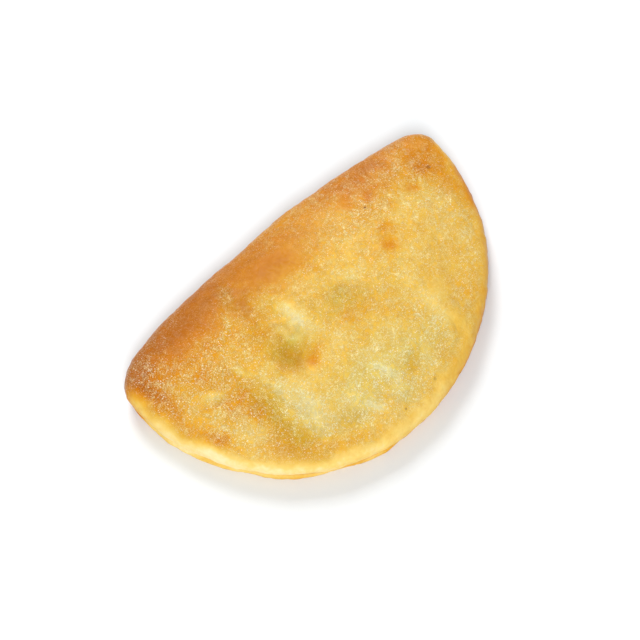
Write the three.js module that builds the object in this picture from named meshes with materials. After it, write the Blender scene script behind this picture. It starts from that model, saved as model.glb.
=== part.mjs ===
// A half-moon empanada: one disc of dough folded in two over a filling and pressed shut along its round rim.
// Millimetres, +Z up. X runs along the fold, and +Y points from the round rim to the fold.
// The origin is the middle of the underside, on the surface that the pastry lies on.
import * as THREE from "three";
import { mergeVertices } from "three/addons/utils/BufferGeometryUtils.js";

const { clamp, lerp, smoothstep, degToRad, radToDeg, euclideanModulo } = THREE.MathUtils;

// Seen from above: a round rim, cut off behind the disc's middle by a slightly bowed fold, with rounded tips.
const DISC_RADIUS = 65.8;
const FOLD = { behind: 13, bowRadius: 420 };
const TIP_SHARPNESS = { left: 5.2, right: 9 };
// The hand-cut disc's unevenness: waves a turn, their height, and the bearing of the first crest in degrees.
const WAVES = [
  { count: 2, height: 1.2, crest: 48 },
  { count: 3, height: 0.7, crest: 0 },
  { count: 4, height: 0.27, crest: -28 },
];

// From the side: an edge of two leaves of dough. It turns from 0 degrees at its widest place up over an arc
// to the shoulder, where the top begins, and down to -90 degrees at the foot.
const WIDEST_HEIGHT = { rim: 5, fold: 6.5 };
const ARC_RISE = { rim: 5.3, fold: 6.5 };
const ARC_INSET = { rim: 4.6, fold: 9 };
const FOOT_INSET = { rim: 2.2, fold: 4.5 };
const SHOULDER_TURN = { rim: 70, fold: 50 };
const FOOT_TURN = -90;
// The edge is rounded off towards a line inside, from tip to tip, so that it keeps clear of itself at the tips.
const HEART = { halfLength: 40, y: 12 };
const FACES_BACK = { from: 0.3, to: 0.95 }; // +Y share of the way out, where the rim's rounding turns to the fold's
const STANDS_HIGHER = { from: 5, to: 36 }; // Y, where the rim's heights turn to the fold's

// The seam runs round the rim. Below it the bottom leaf is set back, but for three stretches where its lip shows.
const SEAM = { turn: -20, halfWidth: 9, depth: 0.8 };
const LIP_SET_BACK = 0.2;
const LIPS = [
  { bearing: 202, halfWidth: 15, reach: 1.4 },
  { bearing: 230, halfWidth: 8, reach: 1.4 },
  { bearing: 252, halfWidth: 6, reach: 1.1 },
];

// The top: a low dome over the filling, which rises quickly from the fold and slowly from the rim.
const DOME = { foot: { rim: 10, fold: 11.5 }, height: 20, fromRim: 3, fromFold: 13 }; // fromRim is a power
const DOME_INSET = 3.1; // from the widest outline to where the dome begins, on average
const SHOULDER_SETTLES = 8; // power of the way out, with which the dome comes to meet the shoulder exactly
const CROWN = new THREE.Vector3(0, 4, 0); // the surface's rows run out from here
const RELIEF_FADES = { from: 0.86, to: 1 }; // share of the way out
const RELIEF = [
  { what: "dimple", x: -20, y: 0.5, long: 8, wide: 7, turn: -50, rise: -3.2 },
  { what: "crest beside the dimple", x: -11.5, y: 7.5, long: 8, wide: 3.4, turn: -78, rise: 2.2 },
  { what: "broad hollow", x: 6.5, y: 6.5, long: 9, wide: 4.5, turn: -36, rise: -1.5 },
  { what: "valley across the left end", x: -34.5, y: -7, long: 15, wide: 5.5, turn: 97, rise: -2.2 },
  { what: "bent end of the valley", x: -33, y: -23, long: 7, wide: 4.5, turn: 125, rise: -1.3 },
  { what: "ridge beside the valley", x: -26.5, y: -12, long: 13, wide: 3.6, turn: 97, rise: 1.7 },
  { what: "hump of the left end", x: -42, y: -4, long: 13, wide: 5, turn: 80, rise: 1.1 },
  { what: "groove behind the left rim", x: -53, y: 0, long: 13, wide: 3, turn: 112, rise: -1 },
  { what: "dent near the front rim", x: -22, y: -28.5, long: 8, wide: 3.4, turn: -14, rise: -1.4 },
  { what: "short ridge behind the rim", x: -13.5, y: -26.5, long: 6.5, wide: 2.8, turn: 130, rise: 0.6 },
  { what: "ridge of the right end", x: 24.5, y: -18, long: 12, wide: 3.8, turn: 97, rise: 0.9 },
  { what: "hollow of the right end", x: 34, y: -14, long: 10, wide: 8, turn: 40, rise: -0.8 },
];

// The surface's cells along the fold and across it, and its rows down the edge: the shoulder is 1, the widest
// place 0 and the foot -1.
const CELLS = { along: 52, across: 26 };
const EDGE_ROWS = [1, 0.74, 0.48, 0.22, -0.05, -0.22, -0.36, -0.53, -0.75, -1];
const OUTLINE_SAMPLES = 3000;

const CRUST = { color: 0xe6b25c, roughness: 0.6, metalness: 0 };

const rimToFold = ({ rim, fold }, share) => lerp(rim, fold, share);

// How far the widest outline is from the disc's middle at a bearing in radians, counted from +X over +Y.
function outlineRadius(bearing) {
  const { behind, bowRadius } = FOLD;
  const sine = Math.sin(bearing);
  const cosine = Math.cos(bearing);
  const toFold = (2 * behind) / (sine + Math.sqrt(sine ** 2 + (2 * behind * cosine ** 2) / bowRadius));
  const sharpness = lerp(TIP_SHARPNESS.left, TIP_SHARPNESS.right, (1 + cosine) / 2);
  const cutDisc = (DISC_RADIUS ** -sharpness + toFold ** -sharpness) ** (-1 / sharpness);
  return WAVES.reduce(
    (radius, { count, height, crest }) => radius + height * Math.cos(count * (bearing - degToRad(crest))),
    cutDisc,
  );
}

// The widest outline, run from the fold's middle over the left tip and back.
class Outline extends THREE.Curve {
  getPoint(t, target = new THREE.Vector3()) {
    const bearing = Math.PI / 2 + 2 * Math.PI * t;
    const radius = outlineRadius(bearing);
    return target.set(radius * Math.cos(bearing), radius * Math.sin(bearing), 0);
  }
}

const outline = new Outline();
outline.arcLengthDivisions = OUTLINE_SAMPLES;
const outlineBox = new THREE.Box3().setFromPoints(outline.getPoints(OUTLINE_SAMPLES));
const discMiddle = outlineBox.getCenter(new THREE.Vector3()).negate();

// A place on the outline: its point, its bearing in degrees, the way out, and 1 on the fold or 0 on the rim.
function placeOnOutline(share) {
  const point = outline.getPointAt(share);
  const bearing = euclideanModulo(radToDeg(Math.atan2(point.y, point.x)), 360);
  point.add(discMiddle);
  const heart = new THREE.Vector3(clamp(point.x, -HEART.halfLength, HEART.halfLength), HEART.y, 0);
  const outward = point.clone().sub(heart).normalize();
  const fold = smoothstep(outward.y, FACES_BACK.from, FACES_BACK.to);
  return { point, bearing, outward, fold };
}

function lipReach(bearing) {
  return LIPS.reduce(
    (reach, lip) => reach + lip.reach * Math.exp(-(((bearing - lip.bearing) / lip.halfWidth) ** 4)),
    -LIP_SET_BACK,
  );
}

// A point of the rounded edge, at a turn in degrees.
function edgePoint({ point, bearing, outward, fold }, turn) {
  const angle = degToRad(turn);
  const higher = smoothstep(point.y, STANDS_HIGHER.from, STANDS_HIGHER.to);
  const widest = rimToFold(WIDEST_HEIGHT, higher);
  const rise = turn > 0 ? rimToFold(ARC_RISE, higher) : widest;
  const inset = rimToFold(turn > 0 ? ARC_INSET : FOOT_INSET, fold) * (1 - Math.cos(angle));
  const seam = SEAM.depth * Math.exp(-(((turn - SEAM.turn) / SEAM.halfWidth) ** 2));
  const belowSeam = clamp((turn - SEAM.turn) / (FOOT_TURN - SEAM.turn), 0, 1);
  const lip = lipReach(bearing) * Math.sin(Math.PI * belowSeam);
  const out = (lip - seam) * (1 - fold) - inset;
  return point.clone().addScaledVector(outward, out).setZ(widest + rise * Math.sin(angle));
}

// A point of the edge in a row from the shoulder's 1 to the foot's -1.
function edgeRowPoint(place, row) {
  return edgePoint(place, row > 0 ? row * rimToFold(SHOULDER_TURN, place.fold) : -row * FOOT_TURN);
}

function reliefAt({ x, y }) {
  return RELIEF.reduce((sum, mark) => {
    const offset = new THREE.Vector2(x - mark.x, y - mark.y);
    offset.rotateAround(new THREE.Vector2(), -degToRad(mark.turn));
    return sum + mark.rise * Math.exp(-((offset.x / mark.long) ** 2) - (offset.y / mark.wide) ** 2);
  }, 0);
}

// The dome's height: it stands on a foot that rises from the rim to the fold.
function domeHeight({ x, y }) {
  const foot = rimToFold(DOME.foot, smoothstep(y, STANDS_HIGHER.from, STANDS_HIGHER.to));
  const radius = Math.hypot(x - discMiddle.x, y - discMiddle.y);
  const toFold = discMiddle.y + FOLD.behind - x ** 2 / (2 * FOLD.bowRadius) - y;
  const fromRim = 1 - (radius / (DISC_RADIUS - DOME_INSET)) ** DOME.fromRim;
  const fromFold = 1 - Math.exp((DOME_INSET - toFold) / DOME.fromFold);
  return lerp(foot, DOME.height, fromRim * fromFold);
}

// A point of the top, a share of the way out from the crown to the shoulder.
function topPoint(place, share) {
  const shoulder = edgeRowPoint(place, 1);
  const point = CROWN.clone().lerp(shoulder, share);
  const settling = (shoulder.z - domeHeight(shoulder)) * share ** SHOULDER_SETTLES;
  const relief = reliefAt(point) * (1 - smoothstep(share, RELIEF_FADES.from, RELIEF_FADES.to));
  return point.setZ(domeHeight(point) + settling + relief);
}

// The flat underside shrinks from the foot towards a point below the crown.
function bottomPoint(place, share) {
  return CROWN.clone().lerp(edgeRowPoint(place, -1), share);
}

// The share of the way round of a point (a, b) of the square from -1 to 1, in equal cells from the fold's middle.
function shareRoundSquare(a, b) {
  const { along, across } = CELLS;
  const size = Math.max(Math.abs(a), Math.abs(b)) || 1;
  const [u, v] = [a / size, b / size];
  let walked = (-u * along) / 2; // the fold
  if (v <= -1) walked = along / 2 + across + ((1 + u) * along) / 2; // the front of the rim
  else if (u <= -1) walked = along / 2 + ((1 - v) * across) / 2; // the left end
  else if (u >= 1) walked = (3 * along) / 2 + across + ((1 + v) * across) / 2; // the right end
  return euclideanModulo(walked / (2 * (along + across)), 1);
}

// A cube from -1 to 1 turns into the pastry: its top into the dome, its walls into the edge.
function onPastry(a, b, c) {
  const place = placeOnOutline(shareRoundSquare(a, b));
  const share = Math.max(Math.abs(a), Math.abs(b));
  if (c === 1) return topPoint(place, share);
  if (c === -1) return bottomPoint(place, share);
  return edgeRowPoint(place, EDGE_ROWS[Math.round(((1 - c) / 2) * (EDGE_ROWS.length - 1))]);
}

function pastryGeometry() {
  const cube = new THREE.BoxGeometry(2, 2, 2, CELLS.along, CELLS.across, EDGE_ROWS.length - 1);
  const position = cube.getAttribute("position");
  for (let i = 0; i < position.count; i++) {
    const { x, y, z } = onPastry(position.getX(i), position.getY(i), position.getZ(i));
    position.setXYZ(i, x, y, z);
  }
  cube.deleteAttribute("normal");
  cube.deleteAttribute("uv");
  const closed = mergeVertices(cube);
  closed.computeVertexNormals();
  return closed;
}

const pastry = new THREE.Mesh(pastryGeometry(), new THREE.MeshStandardMaterial(CRUST));
pastry.name = "pastry";

const empanada = new THREE.Group();
empanada.add(pastry);

export default empanada;
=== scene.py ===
"""A half-moon empanada on a pale table: its baked crust, soft studio light and a camera."""

import math

import bpy
import numpy as np
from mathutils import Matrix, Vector, noise


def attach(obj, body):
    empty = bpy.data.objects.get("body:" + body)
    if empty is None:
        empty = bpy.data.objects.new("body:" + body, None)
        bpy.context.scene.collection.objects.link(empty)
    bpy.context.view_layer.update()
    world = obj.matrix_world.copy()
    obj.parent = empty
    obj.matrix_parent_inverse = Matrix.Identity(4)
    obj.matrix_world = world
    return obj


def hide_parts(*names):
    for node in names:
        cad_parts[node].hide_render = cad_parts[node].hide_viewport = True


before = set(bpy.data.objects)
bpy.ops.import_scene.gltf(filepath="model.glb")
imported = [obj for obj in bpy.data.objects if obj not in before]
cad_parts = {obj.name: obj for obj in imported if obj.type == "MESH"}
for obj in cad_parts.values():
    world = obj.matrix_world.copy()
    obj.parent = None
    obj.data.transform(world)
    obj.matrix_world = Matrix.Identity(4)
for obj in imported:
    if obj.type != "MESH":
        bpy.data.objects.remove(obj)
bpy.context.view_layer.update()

# The shape is worked out in millimetres, from the same sizes as the CAD solid. Pairs are (rim, fold), unless
# their comments say otherwise.
MM = 0.001
DISC_RADIUS = 65.8
FOLD_BEHIND = 13.0
FOLD_BOW_RADIUS = 420.0
TIP_SHARPNESS = (5.2, 9.0)  # left, right
WAVES = ((2, 1.2, 48), (3, 0.7, 0), (4, 0.27, -28))  # waves a turn, height, bearing of a crest
OUTLINE_SAMPLES = 7200

WIDEST_HEIGHT = (5.0, 6.5)
ARC_RISE = (5.3, 6.5)
ARC_INSET = (4.6, 9.0)
FOOT_INSET = (2.2, 4.5)
SHOULDER_TURN = (70.0, 50.0)
FOOT_TURN = -90.0
HEART_HALF_LENGTH = 40.0
HEART_Y = 12.0
FACES_BACK = (0.3, 0.95)  # how far the way out points to +Y where the fold begins, and where it is full
STANDS_HIGHER = (5.0, 36.0)  # the Y over which the edge gets higher

LIP_SET_BACK = 0.2
LIPS = ((202, 15, 1.4), (230, 8, 1.4), (252, 6, 1.1))  # bearing, half width, reach
# Grooves along the side of the rim: turn, half width, depth, bearing and half width of the stretch, wander.
SEAM = (-20.0, 8.0, 0.5, 232, 80, 2.0)
OPEN_SEAM = (-20.0, 4.5, 0.6, 243, 22, 2.0)
LAYER_LINE = (-48.0, 5.0, 0.35, 247, 14, 5.0)

DOME_FOOT = (10.0, 11.5)
DOME_HEIGHT = 20.0
DOME_FROM_RIM = 3.0
DOME_FROM_FOLD = 13.0
DOME_INSET = 3.1
SHOULDER_SETTLES = 8
CROWN = (0.0, 4.0)  # x, y
RELIEF_FADES = (0.86, 1.0)  # shares of the way from the crown to the shoulder

# Dents and ridges of the top: x, y, half length, half width, turn in degrees, rise.
RELIEF = (
    (-20, 0.5, 8, 7, -50, -3.2),  # dimple
    (-11.5, 7.5, 8, 3.4, -78, 2.2),  # crest beside the dimple
    (6.5, 6.5, 9, 4.5, -36, -1.5),  # broad hollow
    (-34.5, -7, 15, 5.5, 97, -2.2),  # valley across the left end
    (-33, -23, 7, 4.5, 125, -1.3),  # bent end of the valley
    (-26.5, -12, 13, 3.6, 97, 1.7),  # ridge beside the valley
    (-42, -4, 13, 5, 80, 1.1),  # hump of the left end
    (-53, 0, 13, 3, 112, -1.0),  # groove behind the left rim
    (-22, -28.5, 8, 3.4, -14, -1.4),  # dent near the front rim
    (-13.5, -26.5, 6.5, 2.8, 130, 0.6),  # short ridge behind the rim
    (24.5, -18, 12, 3.8, 97, 0.9),  # ridge of the right end
    (34, -14, 10, 8, 40, -0.8),  # hollow of the right end
)
# Small folds and creases of the skin, too fine for the CAD solid's faces, in the same terms.
FOLDS = (
    (-45.5, 5.3, 4.0, 1.3, -33, 0.72),  # fold on the hump, and the crease below it
    (-46.5, 2.8, 3.5, 1.0, -22, -0.54),
    (-41.5, -0.8, 4.5, 1.1, 2, -0.50),  # crease across the hump
    (-38.5, 3.0, 3.5, 1.6, -74, -0.45),
    (-36.0, 5.5, 2.2, 1.0, -60, 0.50),
    (-32.2, -4.5, 4.5, 1.1, -78, 0.55),
    (-29.8, -24.0, 4.5, 1.0, -62, 0.50),  # upper end of the valley
    (-17.0, 4.0, 2.2, 1.2, 20, -0.50),  # hook at the top of the dimple
    (-17.6, 8.6, 3.2, 1.0, -55, 0.63),
    (-18.5, -6.0, 2.0, 1.6, 0, -0.45),  # pit at the foot of the dimple
    (-30.8, 18.3, 3.5, 1.0, 28, 0.54),
    (-22.5, 27.5, 4.5, 1.4, 55, 0.54),
    (-22.0, 21.5, 2.0, 1.8, 0, -0.54),
    (-3.2, -24.0, 4.5, 1.8, -68, 0.81),
    (-8.5, -30.5, 5.0, 1.3, -70, -0.72),
    (4.5, -28.0, 2.6, 2.2, 0, -0.54),
    (20.8, -26.0, 6.0, 1.5, 103, 0.63),
    (52.3, 2.5, 7.0, 1.5, 73, 0.54),
    (38.5, -2.0, 2.0, 1.6, 0, -0.45),
)

# Cells along the fold and across it, rows down the edge (shoulder 1, widest 0, foot -1), and rings of the
# underside.
CELLS_ALONG = 320
CELLS_ACROSS = 160
EDGE_ROWS = np.concatenate([np.linspace(1, 0.1, 9), np.linspace(0, -0.42, 15), np.linspace(-0.47, -1, 10)])
UNDER_RINGS = (0.985, 0.96, 0.9, 0.8, 0.65, 0.45, 0.2)

# Folds and marks are ragged: the sizes of the waves that shift their edges, and how far they shift them.
RAGGED = ((6.0, 1.8), (2.2, 0.9))
RAGGED_SEED = 385
# Unevenness of the skin: size of its lumps, and how far they stand out.
SKIN = ((9.0, 0.28), (3.2, 0.22), (1.5, 0.11))
UNEVEN_FROM = (-1, -0.6)  # rows of the edge, as the underside rests flat


def smoothstep(value, start, end):
    share = np.clip((value - start) / (end - start), 0, 1)
    return share * share * (3 - 2 * share)


def rim_to_fold(pair, share):
    return pair[0] + (pair[1] - pair[0]) * share


def oval(x, y, at_x, at_y, long, wide, turn=0):
    """A soft oval spot: 1 in its middle, fading to nothing past its half length and half width."""
    cosine, sine = math.cos(math.radians(turn)), math.sin(math.radians(turn))
    along = ((x - at_x) * cosine + (y - at_y) * sine) / long
    across = ((y - at_y) * cosine - (x - at_x) * sine) / wide
    return np.exp(-(along**2) - across**2)


def waver(bearing, seed, count=5):
    """A smooth wandering line, about -1 to 1, over bearings in degrees, the same after a full turn."""
    phases = np.random.default_rng(seed).uniform(0, 2 * math.pi, count)
    waves = (np.cos((3 + 4 * i) * np.radians(bearing) + phase) for i, phase in enumerate(phases))
    return sum(waves) / math.sqrt(count)


def outline_radius(bearing):
    sine, cosine = np.sin(bearing), np.cos(bearing)
    reach = sine + np.sqrt(sine**2 + 2 * FOLD_BEHIND * cosine**2 / FOLD_BOW_RADIUS)
    to_fold = 2 * FOLD_BEHIND / np.maximum(reach, 1e-6)
    sharpness = rim_to_fold(TIP_SHARPNESS, (1 + cosine) / 2)
    radius = (DISC_RADIUS**-sharpness + to_fold**-sharpness) ** (-1 / sharpness)
    for count, height, crest in WAVES:
        radius = radius + height * np.cos(count * (bearing - math.radians(crest)))
    return radius


class Outline:
    """The widest outline, run from the fold's middle over the left tip and back."""

    def __init__(self):
        bearing = math.pi / 2 + np.linspace(0, 2 * math.pi, OUTLINE_SAMPLES + 1)
        radius = outline_radius(bearing)
        x, y = radius * np.cos(bearing), radius * np.sin(bearing)
        self.disc_middle = (-(x.min() + x.max()) / 2, -(y.min() + y.max()) / 2)
        self.x, self.y = x + self.disc_middle[0], y + self.disc_middle[1]
        self.bearing = np.degrees(bearing)
        walked = np.concatenate([[0], np.cumsum(np.hypot(np.diff(x), np.diff(y)))])
        self.share = walked / walked[-1]

    def places(self, share):
        """Points at shares of the way round: x, y, bearing, the way out, and 1 on the fold, 0 on the rim."""
        x, y, bearing = (np.interp(share, self.share, of) for of in (self.x, self.y, self.bearing))
        out_x = x - np.clip(x, -HEART_HALF_LENGTH, HEART_HALF_LENGTH)
        out_y = y - HEART_Y
        length = np.hypot(out_x, out_y)
        fold = smoothstep(out_y / length, *FACES_BACK)
        return x, y, bearing % 360, out_x / length, out_y / length, fold


outline = Outline()


def lip_reach(bearing):
    stretches = (reach * np.exp(-(((bearing - at) / half_width) ** 4)) for at, half_width, reach in LIPS)
    return sum(stretches) - LIP_SET_BACK


def turn_at(row, fold):
    return np.where(row > 0, row * rim_to_fold(SHOULDER_TURN, fold), -row * FOOT_TURN)


def groove_at(groove, turn, bearing):
    """How deep a point is in a groove along the rim: 1 on its line, 0 away from it."""
    at, half_width, _, middle, half_stretch, wander = groove
    line = at + wander * waver(bearing, seed=int(abs(at)))
    return np.exp(-(((turn - line) / half_width) ** 2) - ((bearing - middle) / half_stretch) ** 4)


def edge_points(place, row):
    x, y, bearing, out_x, out_y, fold = place
    turn = turn_at(row, fold)
    angle = np.radians(turn)
    higher = smoothstep(y, *STANDS_HIGHER)
    widest = rim_to_fold(WIDEST_HEIGHT, higher)
    rise = np.where(turn > 0, rim_to_fold(ARC_RISE, higher), widest)
    deepest = np.where(turn > 0, rim_to_fold(ARC_INSET, fold), rim_to_fold(FOOT_INSET, fold))
    inset = deepest * (1 - np.cos(angle))
    below_seam = np.clip((turn - SEAM[0]) / (FOOT_TURN - SEAM[0]), 0, 1)
    out = lip_reach(bearing) * np.sin(math.pi * below_seam)
    for groove in (SEAM, OPEN_SEAM, LAYER_LINE):
        out = out - groove[2] * groove_at(groove, turn, bearing)
    out = out * (1 - fold) - inset
    return x + out_x * out, y + out_y * out, widest + rise * np.sin(angle)


def sum_of_ovals(ovals, x, y):
    return sum(share * oval(x, y, *shape) for *shape, share in ovals)


def ragged(x, y):
    """The points, shifted unevenly, so that the ovals found from them are no longer smooth."""
    noise.seed_set(RAGGED_SEED)
    shifts = np.zeros((len(x), 3))
    for size, reach in RAGGED:
        shifts += [reach * noise.noise_vector(Vector((at_x, at_y, 0)) / size) for at_x, at_y in zip(x, y)]
    return x + shifts[:, 0], y + shifts[:, 1]


def relief_at(x, y):
    return sum_of_ovals(RELIEF, x, y) + sum_of_ovals(FOLDS, *ragged(x, y))


def dome_height(x, y):
    foot = rim_to_fold(DOME_FOOT, smoothstep(y, *STANDS_HIGHER))
    middle_x, middle_y = outline.disc_middle
    radius = np.hypot(x - middle_x, y - middle_y)
    to_fold = middle_y + FOLD_BEHIND - x**2 / (2 * FOLD_BOW_RADIUS) - y
    from_rim = 1 - (radius / (DISC_RADIUS - DOME_INSET)) ** DOME_FROM_RIM
    from_fold = 1 - np.exp((DOME_INSET - to_fold) / DOME_FROM_FOLD)
    return foot + (DOME_HEIGHT - foot) * from_rim * from_fold


def top_points(place, out):
    edge_x, edge_y, edge_z = edge_points(place, np.ones_like(out))
    x = CROWN[0] + (edge_x - CROWN[0]) * out
    y = CROWN[1] + (edge_y - CROWN[1]) * out
    settling = (edge_z - dome_height(edge_x, edge_y)) * out**SHOULDER_SETTLES
    relief = relief_at(x, y) * (1 - smoothstep(out, *RELIEF_FADES))
    return x, y, dome_height(x, y) + settling + relief


def under_points(place, out):
    foot_x, foot_y, foot_z = edge_points(place, -np.ones_like(out))
    return CROWN[0] + (foot_x - CROWN[0]) * out, CROWN[1] + (foot_y - CROWN[1]) * out, foot_z


def share_round_square(a, b):
    """Shares of the way round, from the fold's middle, of points in the square from -1 to 1."""
    size = np.maximum(np.maximum(abs(a), abs(b)), 1e-9)
    u, v = a / size, b / size
    left = CELLS_ALONG / 2 + (1 - v) * CELLS_ACROSS / 2
    front = CELLS_ALONG / 2 + CELLS_ACROSS + (1 + u) * CELLS_ALONG / 2
    right = 1.5 * CELLS_ALONG + CELLS_ACROSS + (1 + v) * CELLS_ACROSS / 2
    walked = np.select([v <= -1, u <= -1, u >= 1], [front, left, right], default=-u * CELLS_ALONG / 2)
    return (walked / (2 * (CELLS_ALONG + CELLS_ACROSS))) % 1


def loop_of(grid):
    """The edge of a grid, from the fold's left corner down the left end and back along the fold."""
    return np.concatenate([grid[:0:-1, 0], grid[0, :-1], grid[:-1, -1], grid[-1, :0:-1]])


def quads_between(rows):
    """Quads between the rows of a grid of vertex numbers."""
    corners = (rows[:-1, :-1], rows[:-1, 1:], rows[1:, 1:], rows[1:, :-1])
    return np.stack([corner.ravel() for corner in corners], axis=1).tolist()


def pastry_surface():
    """The top as a grid, then rings down the edge and under the pastry to its middle. Each point keeps its
    share of the way round, how far out it is, and its row: 1 on top, -1 underneath."""
    a, b = np.meshgrid(np.linspace(-1, 1, CELLS_ALONG + 1), np.linspace(-1, 1, CELLS_ACROSS + 1))
    share = share_round_square(a, b)
    out = np.maximum(abs(a), abs(b))
    round_share = loop_of(share)
    edge_share, edge_row = (grid.ravel() for grid in np.meshgrid(round_share, EDGE_ROWS[1:]))
    under_share, under_out = (grid.ravel() for grid in np.meshgrid(round_share, UNDER_RINGS))
    under_share, under_out = np.append(under_share, 0), np.append(under_out, 0)

    parts = (
        top_points(outline.places(share.ravel()), out.ravel()),
        edge_points(outline.places(edge_share), edge_row),
        under_points(outline.places(under_share), under_out),
    )
    points = np.concatenate([np.stack(part, axis=1) for part in parts])
    placed = {
        "share": np.concatenate([share.ravel(), edge_share, under_share]),
        "out": np.concatenate([out.ravel(), np.ones_like(edge_share), under_out]),
        "row": np.concatenate([np.ones(share.size), edge_row, -np.ones_like(under_share)]),
    }

    top = np.arange(share.size).reshape(share.shape)
    rings = share.size + np.arange(len(points) - share.size - 1).reshape(-1, round_share.size)
    rings = np.vstack([loop_of(top), rings])
    rings = np.hstack([rings, rings[:, :1]])
    middle = len(points) - 1
    fan = [[middle, here, there] for here, there in zip(rings[-1][1:].tolist(), rings[-1][:-1].tolist())]
    return points, quads_between(top) + quads_between(rings[:, ::-1]) + fan, placed


def add_unevenness(mesh, placed):
    """Moves the points in and out along their normals, apart from the underside."""
    count = len(mesh.vertices)
    points = np.empty(count * 3)
    normals = np.empty(count * 3)
    mesh.vertices.foreach_get("co", points)
    mesh.vertex_normals.foreach_get("vector", normals)
    points = points.reshape(-1, 3)
    lumps = np.zeros(count)
    for size, rise in SKIN:
        lumps += [rise * MM * noise.noise(Vector(point) / (size * MM)) for point in points]
    lumps *= smoothstep(placed["row"], *UNEVEN_FROM)
    points += normals.reshape(-1, 3) * lumps[:, None]
    mesh.vertices.foreach_set("co", points.ravel())


def make_crust():
    points, faces, placed = pastry_surface()
    mesh = bpy.data.meshes.new("crust")
    mesh.from_pydata((points * MM).tolist(), [], faces)
    mesh.shade_smooth()
    add_unevenness(mesh, placed)
    for name, values in crust_zones(points, placed).items():
        mesh.attributes.new(name, "FLOAT", "POINT").data.foreach_set("value", values)
    crust = bpy.data.objects.new("crust", mesh)
    bpy.context.scene.collection.objects.link(crust)
    return crust


# ---- Zones of the crust. Ovals in millimetres on the top: x, y, half length, half width, turn, share.

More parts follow.
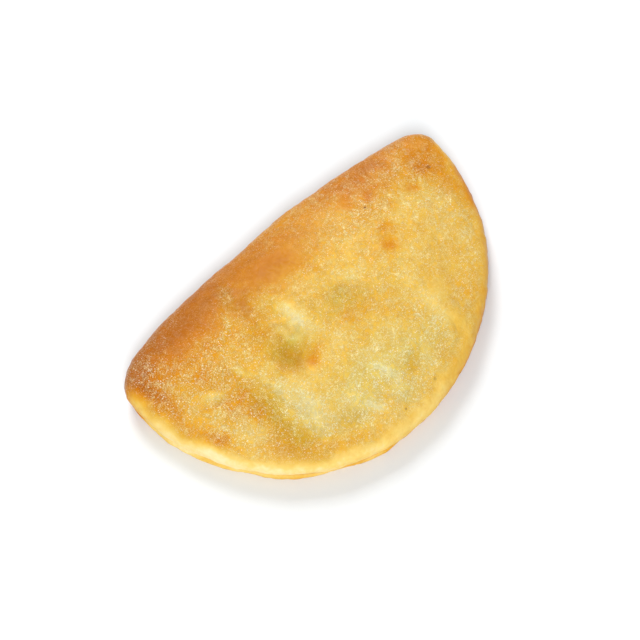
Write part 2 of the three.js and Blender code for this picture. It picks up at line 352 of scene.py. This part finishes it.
# How browned, with painted shade and painted highlights mixed in: 0 is pale dough, 1 is dark brown. It is
# darker by the fold, over a band of Y, from browning and from painted shade.
BASE_TOAST = 0.34
FOLD_TOAST_AND_SHADE = 0.34
FOLD_BAND = (12.0, 27.0)
BACK_TOAST_AND_SHADE = 0.12
BACK_BAND = (26.0, 36.0)
# Browned spots, and painted shade in the dimple and on the dark sides of the valley and the hollow.
TOASTED_AND_SHADED = (
    # Along the fold
    (-60, 30, 4, 2.5, 20, 0.30),
    (-56, 30, 9, 4.5, 10, 0.22),
    (-50, 36, 10, 4, 10, 0.07),
    (-42, 25, 14, 7, 0, 0.10),
    (-38, 31, 24, 7, 6, 0.22),  # darkest stretch
    (-30, 38.5, 22, 3, 3, 0.06),
    (-7, 24, 14, 7, -4, 0.10),  # orange tongue
    (9, 28, 5, 4, 0, 0.06),
    (25.8, 26, 2.4, 2.4, 0, 0.14),
    (31, 31, 3, 2, 0, 0.10),
    (32.7, 24.5, 1.8, 2.6, 0, 0.14),
    (36.5, 24, 1.2, 1.2, 0, 0.12),
    (40.8, 32.6, 4.0, 2.0, -5, 0.15),
    (41, 30.5, 5, 2.5, -5, 0.08),
    # Left end
    (-59.5, 15, 2.6, 12, 4, 0.30),  # behind the left rim
    (-58.5, 18, 3, 7, 0, 0.09),
    (-57.5, -4, 1.5, 5, 22, 0.08),
    (-57, 22, 4, 9, 0, 0.09),
    (-56, -5, 2.5, 5, 22, 0.18),
    (-54.5, -4, 2.2, 7, 22, 0.22),
    (-54, -3, 3, 4, 22, 0.03),
    (-50, 14, 9, 9, 0, 0.10),
    (-48, -14, 3, 6, 30, 0.05),
    (-47, 2.2, 3.5, 0.8, -22, 0.24),
    (-45, 13, 4, 3.5, 0, 0.12),
    (-44, -3, 3.5, 3.5, 0, 0.17),
    (-43, -18, 5, 5, 35, 0.14),
    (-43, 11, 14, 9, 0, 0.08),
    (-42, 4, 3.5, 6, 10, 0.09),
    (-41.5, -6, 2.5, 3.5, 0, 0.14),
    (-41.5, -1.2, 3.5, 0.8, 5, 0.16),
    (-39, -5, 4, 8, 5, 0.05),
    (-38, -12, 4.5, 10, 3, 0.14),  # dark side of the valley, painted shade
    (-37, 0, 3, 2.5, 0, 0.10),
    (-36, 10, 6, 5, 0, 0.07),
    (-36, 17, 4, 3.5, 0, 0.12),
    (-30, 3, 2, 2, 0, 0.09),
    (-30, 14, 2.5, 2.5, 0, 0.09),
    # Round the dimple and the hollow
    (-28, 8.5, 3, 2.5, 0, 0.06),
    (-26.5, -2, 2.5, 4, 0, 0.12),
    (-24, 13, 4.5, 6, 10, 0.18),
    (-23, -5, 3, 2.5, 0, 0.10),
    (-23, 21, 3, 2.5, 0, 0.20),
    # painted shade in the dimple, with browning
    (-22, 0, 5.0, 4.6, -50, 0.23),
    (-22, 8, 4, 2.5, 0, 0.10),
    (-19.5, -2, 3, 4, 0, 0.07),
    (-19, 16, 4, 5, 0, 0.06),
    (-18.4, -6.8, 2.0, 1.7, 30, 0.22),  # brown spot at the foot of the dimple
    (-18, 14, 3, 3, 0, 0.10),
    (-15.5, -6, 4.0, 2.5, 25, 0.16),
    (-11.5, 11, 2.0, 2.5, 0, 0.06),
    (-6, 14.5, 3, 3, 0, 0.08),
    (-1.5, -4.5, 2.5, 1.6, 0, 0.12),
    (1.5, 3, 8, 4, -15, 0.08),  # dark side of the hollow, painted shade
    (2, 15, 3, 3.5, 0, 0.10),
    (3, -4, 9, 4, 0, 0.08),
    (6, 5, 4, 3, 0, 0.05),
    (11, -8, 4, 2.5, 0, 0.06),
    (12, 14, 2.5, 3, 0, 0.07),
    # Right end
    (19, 7, 2.5, 5, 10, 0.06),
    (24.8, 5.3, 3.0, 3.3, 0, 0.32),  # two brown spots, run together
    (25, 12.5, 5, 5, 0, 0.05),
    (28.5, 10.5, 2.6, 2.0, 0, 0.22),
    (34, 17, 2.5, 2, 0, 0.08),
    (38, -5, 3, 3, 0, 0.07),
    (44.6, 16.5, 2.2, 1.8, 0, 0.26),
    (46, 7, 4, 9, 10, 0.05),
    (53.5, 19.5, 3.0, 2.6, 0, 0.14),
    (56, 14, 6, 16, 12, 0.23),  # right tip
    # Behind the front rim
    (-36, -25, 7, 4, -30, 0.16),
    (-30.5, -28, 2, 2, 0, 0.10),
    (-25, -32, 8, 2.6, -16, 0.12),
    (4, -27, 3.5, 2.2, 0, 0.12),
    (14, -29, 3.5, 3, 0, 0.10),
    (22.5, -27, 2.5, 4, 0, 0.10),
    (31, -22, 8, 5, 30, 0.06),
)
# The same, added on the side of the rim, which is smoother and browned more evenly.
SIDE_TOASTED = (
    (-62, 18, 4, 9, 0, 0.06),
    (-62, 28, 4, 5, 0, 0.18),
    (-58, -6, 4, 7, 20, -0.06),
    (-38, -26, 5, 5, 0, 0.06),
    (-34, -32, 18, 6, -32, 0.04),
    (-28, -37, 9, 3, -20, 0.08),
    (-14, -39, 12, 2.5, 0, 0.14),
    (-2, -38, 11, 4, 0, -0.05),
    (14, -36, 12, 3, 10, 0.03),
    (18, -34, 9, 3, 15, 0.03),
    (33, -28, 9, 4, 33, 0.05),
    (46, -18, 9, 5, 42, 0.12),
    (56, -6, 5, 6, 60, 0.12),
    (61, 5, 7, 16, 12, 0.42),
    (62, 12, 4, 5, 0, 0.15),
    (63, 20, 3, 6, 0, -0.15),
)
# How much paler: floury and less browned dough, and painted highlights on crests, ridges and folds.
PALE_AND_HIGHLIGHTS = (
    # Along the fold
    (-52, 26, 3, 4, 0, 0.08),
    (-22.8, 28, 5.0, 2.0, 58, 0.14),  # floury streak
    (8, 37, 14, 3.5, 0, 0.14),
    (14, 27, 10, 8, 0, 0.18),
    (24, 25, 6, 4, 0, 0.10),
    (52, 27, 5, 5, 0, 0.10),
    (55, 31, 8, 5, 0, 0.08),
    # Left end
    (-57, 23, 3, 4, 0, 0.10),
    (-53, -14, 3, 6, 32, 0.08),
    (-48, -8, 3.5, 5, 5, 0.03),
    (-46.5, 5.5, 4.0, 1.6, -33, 0.25),
    (-46, -10, 4, 7, 5, 0.08),
    (-36.2, 5.5, 1.2, 3.0, 25, 0.22),
    (-35.5, 12.5, 4.0, 3.5, 0, 0.06),
    (-32.5, -11, 2, 4, 0, 0.08),
    # painted highlight on a thin ridge
    (-32, -5, 1.2, 4.5, 10, 0.20),
    (-30.5, 18.3, 4.5, 1.0, 28, 0.12),  # floury streak
    (-29.5, -3, 1.0, 6, 0, 0.10),
    # Round the dimple and the hollow
    (-28, -15, 2.6, 8, 5, 0.21),  # painted highlight on the ridge beside the valley
    (-27.5, 20, 3, 1.6, 30, 0.10),
    (-25, -10, 5, 9, 5, 0.06),
    # painted highlight on the arm of the crest
    (-19, 6.5, 3.5, 1.6, -50, 0.20),
    (-17, 14, 3.0, 4.0, 20, 0.08),
    (-15.5, 1, 2.5, 3, 0, 0.06),
    (-13.8, 6.5, 7.5, 2.2, -78, 0.26),  # painted highlight on the crest beside the dimple
    (-10, -7, 6, 3, 0, 0.10),
    (8, 8, 7, 2, -39, 0.12),
    # Right end
    (26, -14, 4, 4, 0, 0.05),
    (33, -2, 10, 6, 0, 0.05),
    (47, 23.5, 8, 3, 20, 0.07),
    (47, 9, 7, 13, 15, 0.10),
    # Behind the front rim
    (-30.5, -22, 2.4, 6, 3, 0.19),
    (-15, -27, 1.6, 5, 40, 0.20),
    (-13, -30, 2.2, 4, 0, 0.12),
    (-6, -22, 22, 8.5, 0, 0.13),
    (-4.5, -24.5, 1.8, 5, 15, 0.18),
    (-4, -32, 4, 3, 0, 0.08),
    (12, -28, 8, 5, 0, 0.08),
    (22, -20, 3.0, 12, 8, 0.14),  # painted highlight on the ridge
)
# Where the crust is darkened to olive: the filling showing through, and painted shade in the dimple, the
# valley and the hollows.
GREENISH_AND_SHADE = (
    # Along the fold
    (-22.8, 28, 5, 2, 58, 0.2),
    (-20, 24, 24, 6, 0, 0.12),
    (-20, 31, 30, 6, 5, 0.25),
    # Left end
    (-42, 7, 5, 4, 0, 0.2),
    (-36.5, -11, 4.5, 12, 3, 0.75),  # valley, painted shade
    # Round the dimple and the hollow
    (-28, -15, 3, 7, 5, 0.12),
    (-25, 12, 4, 5, 0, 0.3),
    (-24.5, 0, 4.5, 4.5, -30, 0.45),
    (-23, 21, 3, 3, 0, 0.4),
    (-21, 0.5, 5, 5, -45, 0.85),  # dimple, painted shade
    (-19, 17, 5, 5, 0, 0.2),
    (-18.5, -2, 3, 4, 0, 0.25),
    (-17.3, 3.5, 2.4, 1.6, 20, 0.35),
    (-14.5, 7, 9, 3, -76, 0.15),
    (-5, 23, 14, 6, 0, 0.4),
    (-3, 1, 4, 3, 0, 0.2),
    (2, 2.5, 8, 4.5, -20, 0.6),  # hollow, painted shade
    (6, 5, 4, 3, 0, 0.3),
    (8, -9, 15, 7, -8, 0.1),
    # Right end
    (16, -4, 8, 5, 0, 0.12),
    # Behind the front rim
    (-35, -24, 7, 4, -35, 0.35),
    (-20, -28.5, 6, 4, -10, 0.25),
    (-8, -21, 18, 8, -4, 0.45),
    (-4, -32, 4, 3, 0, 0.3),
    (4, -27, 4.5, 2.8, 0, 0.2),
    (14, -24, 10, 6, 0, 0.2),
)
# How thick the pale grains lie.
BASE_GRAIN = 0.55
GRAINY = (
    # Along the fold
    (-42, 25, 13, 6, 0, -0.35),
    (-28, 34, 20, 4, 5, -0.25),
    (-22.8, 28, 5.0, 2.0, 58, 0.5),  # floury streak
    (-14, 29, 26, 7, 0, -0.35),
    (25.8, 26, 2.8, 2.8, 0, -0.5),
    (32.7, 24.5, 2.2, 3.0, 0, -0.4),
    (41, 33, 6, 3, 0, -0.3),
    (52, 26, 5, 6, 0, 0.3),
    (57, 28, 3, 3, 0, -0.4),
    # Left end
    (-56, 18, 7, 14, 0, 0.15),
    (-56, 23, 3.5, 5, 0, 0.4),
    (-48, -6, 9, 10, 0, 0.3),
    (-42, 13, 13, 8, 0, 0.25),
    (-30.5, 18.3, 4.5, 1.2, 28, 0.6),  # floury streak
    (-30, -14, 4, 12, 0, 0.35),
    # Round the dimple and the hollow
    (-23, 21, 3, 2.5, 0, -0.4),
    (-22, 0, 6, 6, 0, -0.35),  # dimple
    (-18.6, -6.6, 2.4, 2.0, 0, -0.4),
    (-14.5, 6, 3.0, 6, 10, -0.15),
    (-11.5, 10, 2.5, 3, 0, -0.4),
    (-5, 23, 12, 6, 0, -0.5),
    # Right end
    (25, 20, 12, 5, 0, 0.35),
    (25.5, 6.0, 3.6, 4.0, 10, -0.4),  # brown spots
    (26, -13, 3.5, 4, 0, -0.4),
    (44.6, 16.5, 2.6, 2.2, 0, -0.6),
    (47, 12, 6, 15, 15, 0.3),
    (57, 12, 5, 16, 12, -0.2),
    # Behind the front rim
    (-8, -26, 12, 7, 0, 0.4),
    (16, -22, 6, 8, 0, 0.3),
    (23, -25.5, 3.5, 6, 0, -0.6),
)
# The side of the rim. Places down the edge are 0 at the shoulder, 1 at the widest line and 2 at the foot.
# Pairs say where something begins and where it is full.
PALE_RIM = (176, 197, 252, 296)  # bearings between which it turns pale, and stops being so
PALE_TOAST = 0.07
SIDE_TOAST = 0.34
SIDE_FROM = (-0.3, 0.65)
LOWER_TOAST = 0.28  # more, on the lower half where it isn't pale
LOWER_FROM = (0.55, 1.05)
FOOT_TOAST = 0.46  # more, down by the tray
FOOT_FROM = (1.12, 1.5)
PALE_FOOT = 0.5  # the share of the foot's toast that the pale stretch lacks
GRAINLESS_FROM = (-0.4, 0.4)
INSIDE_PLACE = 0.15  # how far up a place is for each millimetre in from the shoulder
PLACE_WANDERS = 0.12
RIM_ENDS = (0.0, 0.5)  # on the way from rim to fold
CREASE_SHADES = ((SEAM, 0.12), (OPEN_SEAM, 1.0), (LAYER_LINE, 0.55))  # how much painted shade darkens each groove


def crust_zones(points, placed):
    """How browned, olive, grainy and creased the crust is, with painted shade and highlights, at each point.
    """
    x, y = ragged(*points.T[:2])
    edge_x, edge_y, bearing, _, _, fold = outline.places(placed["share"])
    inside = (1 - placed["out"]) * np.hypot(edge_x - CROWN[0], edge_y - CROWN[1])
    down = 1 - placed["row"] - INSIDE_PLACE * inside
    wavering = down + PLACE_WANDERS * waver(bearing, seed=5, count=9)
    rim = 1 - smoothstep(fold, *RIM_ENDS)

    toast_and_shading = BASE_TOAST + FOLD_TOAST_AND_SHADE * smoothstep(y, *FOLD_BAND) + BACK_TOAST_AND_SHADE * smoothstep(y, *BACK_BAND)
    toast_and_shading += sum_of_ovals(TOASTED_AND_SHADED, x, y) - sum_of_ovals(PALE_AND_HIGHLIGHTS, x, y)
    pale = smoothstep(bearing, *PALE_RIM[:2]) * (1 - smoothstep(bearing, *PALE_RIM[2:]))
    side = rim * smoothstep(wavering, *SIDE_FROM)
    side_toast = SIDE_TOAST + (PALE_TOAST - SIDE_TOAST) * pale + sum_of_ovals(SIDE_TOASTED, x, y)
    toast_and_shading += side * (side_toast - toast_and_shading)
    toast_and_shading += (1 - pale) * LOWER_TOAST * smoothstep(down, *LOWER_FROM)
    toast_and_shading += FOOT_TOAST * (1 - PALE_FOOT * pale) * smoothstep(wavering, *FOOT_FROM)
    greenish_and_shade = sum_of_ovals(GREENISH_AND_SHADE, x, y) * (1 - side)
    grainy = (BASE_GRAIN + sum_of_ovals(GRAINY, x, y)) * (1 - rim * smoothstep(wavering, *GRAINLESS_FROM))
    turn = turn_at(placed["row"], fold)
    crease = rim * sum(share * groove_at(groove, turn, bearing) for groove, share in CREASE_SHADES)
    return {"toast_and_shading": toast_and_shading, "greenish_and_shade": greenish_and_shade, "grainy": np.clip(grainy, 0, 1), "crease": crease}


# ---- Materials


def srgb(red, green, blue):
    """A colour given as it shows on a screen, from 0 to 255, as the linear values that shaders take."""
    channels = (value / 255 for value in (red, green, blue))
    return tuple(c / 12.92 if c <= 0.04045 else ((c + 0.055) / 1.055) ** 2.4 for c in channels) + (1.0,)


class Nodes:
    """Short ways to add nodes to a material and link them."""

    def __init__(self, name):
        self.material = bpy.data.materials.new(name)
        self.material.use_nodes = True
        self.tree = self.material.node_tree
        self.shader = self.tree.nodes["Principled BSDF"]

    def add(self, kind, inputs=None, **settings):
        node = self.tree.nodes.new(kind)
        for key, value in settings.items():
            setattr(node, key, value)
        for key, value in (inputs or {}).items():
            self.feed(node.inputs[key], value)
        return node

    def feed(self, socket, value):
        if isinstance(value, bpy.types.NodeSocket):
            self.tree.links.new(value, socket)
        else:
            socket.default_value = value

    def math(self, operation, first, second=0.0, clamp=False):
        inputs = {0: first, 1: second}
        return self.add("ShaderNodeMath", inputs, operation=operation, use_clamp=clamp).outputs[0]

    def attribute(self, name):
        return self.add("ShaderNodeAttribute", attribute_name=name).outputs["Fac"]

    def noise(self, vector, scale, detail=2.0, roughness=0.5, distortion=0.0):
        inputs = {"Vector": vector, "Scale": scale, "Detail": detail, "Roughness": roughness}
        return self.add("ShaderNodeTexNoise", {**inputs, "Distortion": distortion}).outputs["Fac"]

    def about_zero(self, value, amount):
        """A noise from 0 to 1, spread from minus to plus half an amount."""
        return self.math("MULTIPLY", self.math("SUBTRACT", value, 0.5), amount)

    def range(self, value, low, high):
        """Maps low to 0 and high to 1, smoothly."""
        inputs = {"Value": value, "From Min": low, "From Max": high}
        return self.add("ShaderNodeMapRange", inputs, interpolation_type="SMOOTHSTEP").outputs["Result"]

    def ramp(self, factor, stops):
        node = self.add("ShaderNodeValToRGB", {"Fac": factor})
        elements = node.color_ramp.elements
        while len(elements) < len(stops):
            elements.new(0.5)
        for element, (position, colour) in zip(elements, stops):
            element.position = position
            element.color = colour
        return node.outputs["Color"]

    def mix(self, factor, first, second, blend="MIX"):
        node = self.add("ShaderNodeMix", data_type="RGBA", blend_type=blend)
        colours = [socket for socket in node.inputs if socket.type == "RGBA"]
        self.feed(node.inputs["Factor"], factor)
        self.feed(colours[0], first)
        self.feed(colours[1], second)
        return next(socket for socket in node.outputs if socket.type == "RGBA")


TOAST_COLOURS = (
    (0.0, srgb(251, 233, 176)),
    (0.15, srgb(246, 211, 117)),
    (0.30, srgb(236, 189, 79)),
    (0.45, srgb(229, 167, 46)),
    (0.60, srgb(220, 145, 20)),
    (0.80, srgb(204, 121, 8)),
    (1.0, srgb(180, 100, 6)),
)
GREENISH_SHADE_TINT = (0.72, 0.88, 0.78, 1)  # what the filling, and painted shade in the hollows, leave of the light
GRAIN_COLOUR = srgb(255, 243, 190)
# white of the specks, which are also painted glints
SPECK_AND_GLINT_COLOUR = srgb(255, 252, 232)
GAP_TINT = (0.96, 0.94, 0.80, 1)  # of the skin where no grains lie
# Painted shade in the grooves along the rim: its colour, and how much of it.
CREASE_SHADE_COLOUR = srgb(196, 112, 24)
CREASE_SHADE_SHARE = 0.8
# Tiny dark dots: x, y, radius, share. Each fades out between two multiples of its radius.
DOT_COLOUR = srgb(120, 62, 10)
DOTS = ((28.5, 20.5, 0.35, 0.8), (55, 19, 0.7, 0.5), (-7, -35, 0.35, 0.5), (6, -34, 0.5, 0.3))
DOT_FADES = (1.5, 0.5)
# How unevenly it is browned: waves a millimetre, and how far they go.
BLOTCHES = (0.12, 0.18)
PATCHES = (0.27, 0.22)
MOTTLE = (0.7, 0.20)
# Grains: waves a millimetre of their streaks, their flecks and their drifts, how far flecks and drifts count
# beside the streaks, and the sum at which a grain begins and is full.
STREAKS = 2.8
FLECKS = 5.5
DRIFTS = 0.4
BESIDE_STREAKS = 0.5
GRAIN_FROM = (0.54, 0.60)
# Where grains lie, the skin below is less browned, and this much of it is covered.
GRAIN_LIGHTER = 0.30
GRAIN_SHARE = 0.58
# White specks, which are pale flecks of the dough and painted glints: cells a millimetre, how far from the
# middle of its cell a speck begins and is full, and which cells have one.
SPECK_CELLS = 1.6
SPECK_FROM = (0.34, 0.18)
SPECK_CHANCE = (0.5, 0.8)

ROUGHNESS = 0.38
ROUGHNESS_SPREAD = 0.25
BUMP_HEIGHT = 0.24


def add_grains(nodes, place):
    """Fine pale streaks and flecks that lie thicker here and thinner there, from 0 to 1."""
    streaks = nodes.noise(place, STREAKS, detail=1, distortion=1.4)
    flecks = nodes.noise(place, FLECKS, detail=0)
    drifts = nodes.noise(place, DRIFTS, detail=3, distortion=0.8)
    total = nodes.math("ADD", streaks, nodes.about_zero(flecks, BESIDE_STREAKS))
    total = nodes.math("ADD", total, nodes.about_zero(drifts, BESIDE_STREAKS))
    return nodes.range(total, *GRAIN_FROM)


def add_specks_and_glints(nodes, place):
    """Scattered white specks, pale flecks and painted glints, each a fraction of a millimetre across, from 0
    to 1.
    """
    cells = nodes.add("ShaderNodeTexVoronoi", {"Vector": place, "Scale": SPECK_CELLS})
    chance = nodes.add("ShaderNodeSeparateColor", {0: cells.outputs["Color"]}).outputs[0]
    speck = nodes.range(cells.outputs["Distance"], *SPECK_FROM)
    return nodes.math("MULTIPLY", speck, nodes.range(chance, *SPECK_CHANCE))


def crust_material():
    nodes = Nodes("crust")
    place = nodes.add("ShaderNodeTexCoord").outputs["Object"]
    place = nodes.add("ShaderNodeVectorMath", {0: place, 3: 1 / MM}, operation="SCALE").outputs[0]
    grains = add_grains(nodes, place)
    mottle = nodes.noise(place, MOTTLE[0], detail=3, roughness=0.6)

    # browning, with the painted shade and painted highlights of the zones
    toast_and_shading = nodes.math("ADD", nodes.attribute("toast_and_shading"), nodes.about_zero(mottle, MOTTLE[1]))
    for scale, amount in (BLOTCHES, PATCHES):
        toast_and_shading = nodes.math("ADD", toast_and_shading, nodes.about_zero(nodes.noise(place, scale, detail=3), amount))
    grain_share = nodes.math("MULTIPLY", grains, nodes.attribute("grainy"))
    toast_and_shading = nodes.math("SUBTRACT", toast_and_shading, nodes.math("MULTIPLY", grain_share, GRAIN_LIGHTER))
    colour = nodes.ramp(toast_and_shading, TOAST_COLOURS)
    # olive where the filling shows, and painted shade in the hollows
    colour = nodes.mix(nodes.attribute("greenish_and_shade"), colour, GREENISH_SHADE_TINT, blend="MULTIPLY")
    gaps = nodes.math("SUBTRACT", nodes.attribute("grainy"), grain_share, clamp=True)
    colour = nodes.mix(gaps, colour, GAP_TINT, blend="MULTIPLY")
    colour = nodes.mix(nodes.math("MULTIPLY", grain_share, GRAIN_SHARE), colour, GRAIN_COLOUR)
    # white specks: pale flecks of the dough, and painted glints
    specks = nodes.math("MULTIPLY", add_specks_and_glints(nodes, place), nodes.attribute("grainy"))
    colour = nodes.mix(specks, colour, SPECK_AND_GLINT_COLOUR)
    # painted shade in the grooves
    crease = nodes.math("MULTIPLY", nodes.attribute("crease"), CREASE_SHADE_SHARE, clamp=True)
    colour = nodes.mix(crease, colour, CREASE_SHADE_COLOUR)
    flat = nodes.add("ShaderNodeVectorMath", {0: place, 1: (1, 1, 0)}, operation="MULTIPLY").outputs[0]
    for x, y, radius, share in DOTS:
        away = nodes.add("ShaderNodeVectorMath", {0: flat, 1: (x, y, 0)}, operation="DISTANCE")
        dot = nodes.range(away.outputs["Value"], DOT_FADES[0] * radius, DOT_FADES[1] * radius)
        colour = nodes.mix(nodes.math("MULTIPLY", dot, share), colour, DOT_COLOUR)

    height = nodes.math("ADD", nodes.math("MULTIPLY", grains, nodes.attribute("grainy")), mottle)
    bump = nodes.add("ShaderNodeBump", {"Height": height, "Strength": 1.0, "Distance": BUMP_HEIGHT * MM})
    nodes.feed(nodes.shader.inputs["Normal"], bump.outputs["Normal"])
    nodes.feed(nodes.shader.inputs["Base Color"], colour)
    uneven = nodes.about_zero(mottle, ROUGHNESS_SPREAD)
    nodes.feed(nodes.shader.inputs["Roughness"], nodes.math("ADD", ROUGHNESS, uneven))
    nodes.shader.inputs["Specular IOR Level"].default_value = 0.12
    nodes.shader.inputs["Subsurface Weight"].default_value = 0.08
    nodes.shader.inputs["Subsurface Radius"].default_value = (1.0, 0.45, 0.2)
    nodes.shader.inputs["Subsurface Scale"].default_value = 1.0 * MM
    return nodes.material


def floor_material():
    nodes = Nodes("floor")
    nodes.shader.inputs["Base Color"].default_value = (0.862, 0.884, 0.898, 1)
    nodes.shader.inputs["Roughness"].default_value = 1.0
    nodes.shader.inputs["Specular IOR Level"].default_value = 0.0
    return nodes.material


# ---- Stage

CAMERA_TURN = -42.7  # degrees from looking along +Y
CAMERA_RISE = 65.0
CAMERA_DISTANCE = 0.465
CAMERA_TARGET = Vector((-4.6, 5.2, 6.0)) * MM
CAMERA_LENS = 85.0
FLOOR_SIZE = 4.0
WORLD_LIGHT = 0.32
# Name, turn and rise of its place, distance, side of the square, watts
LAMPS = (
    ("key_light", -42, 48, 1.0, 0.45, 6.9),
    ("back_light", 157, 42, 1.0, 0.38, 6.8),
)


def from_place(turn, rise, distance):
    """A point seen from the origin at a turn and a rise in degrees, counted as the camera's are."""
    turn, rise = math.radians(turn), math.radians(rise)
    direction = Vector((math.sin(turn) * math.cos(rise), -math.cos(turn) * math.cos(rise), math.sin(rise)))
    return direction * distance


def look_at(thing, target):
    thing.rotation_euler = (target - thing.location).to_track_quat("-Z", "Y").to_euler()


def add_camera():
    data = bpy.data.cameras.new("camera")
    data.lens = CAMERA_LENS
    data.clip_start = 0.01
    camera = bpy.data.objects.new("camera", data)
    camera.location = CAMERA_TARGET + from_place(CAMERA_TURN, CAMERA_RISE, CAMERA_DISTANCE)
    look_at(camera, CAMERA_TARGET)
    bpy.context.scene.collection.objects.link(camera)
    bpy.context.scene.camera = camera


def add_lamps():
    for name, turn, rise, distance, side, watts in LAMPS:
        data = bpy.data.lights.new(name, "AREA")
        data.size = side
        data.energy = watts
        lamp = bpy.data.objects.new(name, data)
        lamp.location = from_place(turn, rise, distance)
        look_at(lamp, Vector())
        bpy.context.scene.collection.objects.link(lamp)


def add_world():
    world = bpy.data.worlds.new("studio")
    world.use_nodes = True
    background = world.node_tree.nodes["Background"]
    background.inputs["Color"].default_value = (1, 1, 1, 1)
    background.inputs["Strength"].default_value = WORLD_LIGHT
    bpy.context.scene.world = world


def add_floor():
    half = FLOOR_SIZE / 2
    mesh = bpy.data.meshes.new("floor")
    corners = [(-half, -half, 0), (half, -half, 0), (half, half, 0), (-half, half, 0)]
    mesh.from_pydata(corners, [], [(0, 1, 2, 3)])
    mesh.materials.append(floor_material())
    floor = bpy.data.objects.new("floor", mesh)
    bpy.context.scene.collection.objects.link(floor)


bpy.context.scene.view_settings.view_transform = "Standard"
add_camera()
add_world()
add_lamps()
add_floor()

crust = make_crust()
crust.data.materials.append(crust_material())
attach(crust, "root")
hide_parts("pastry")
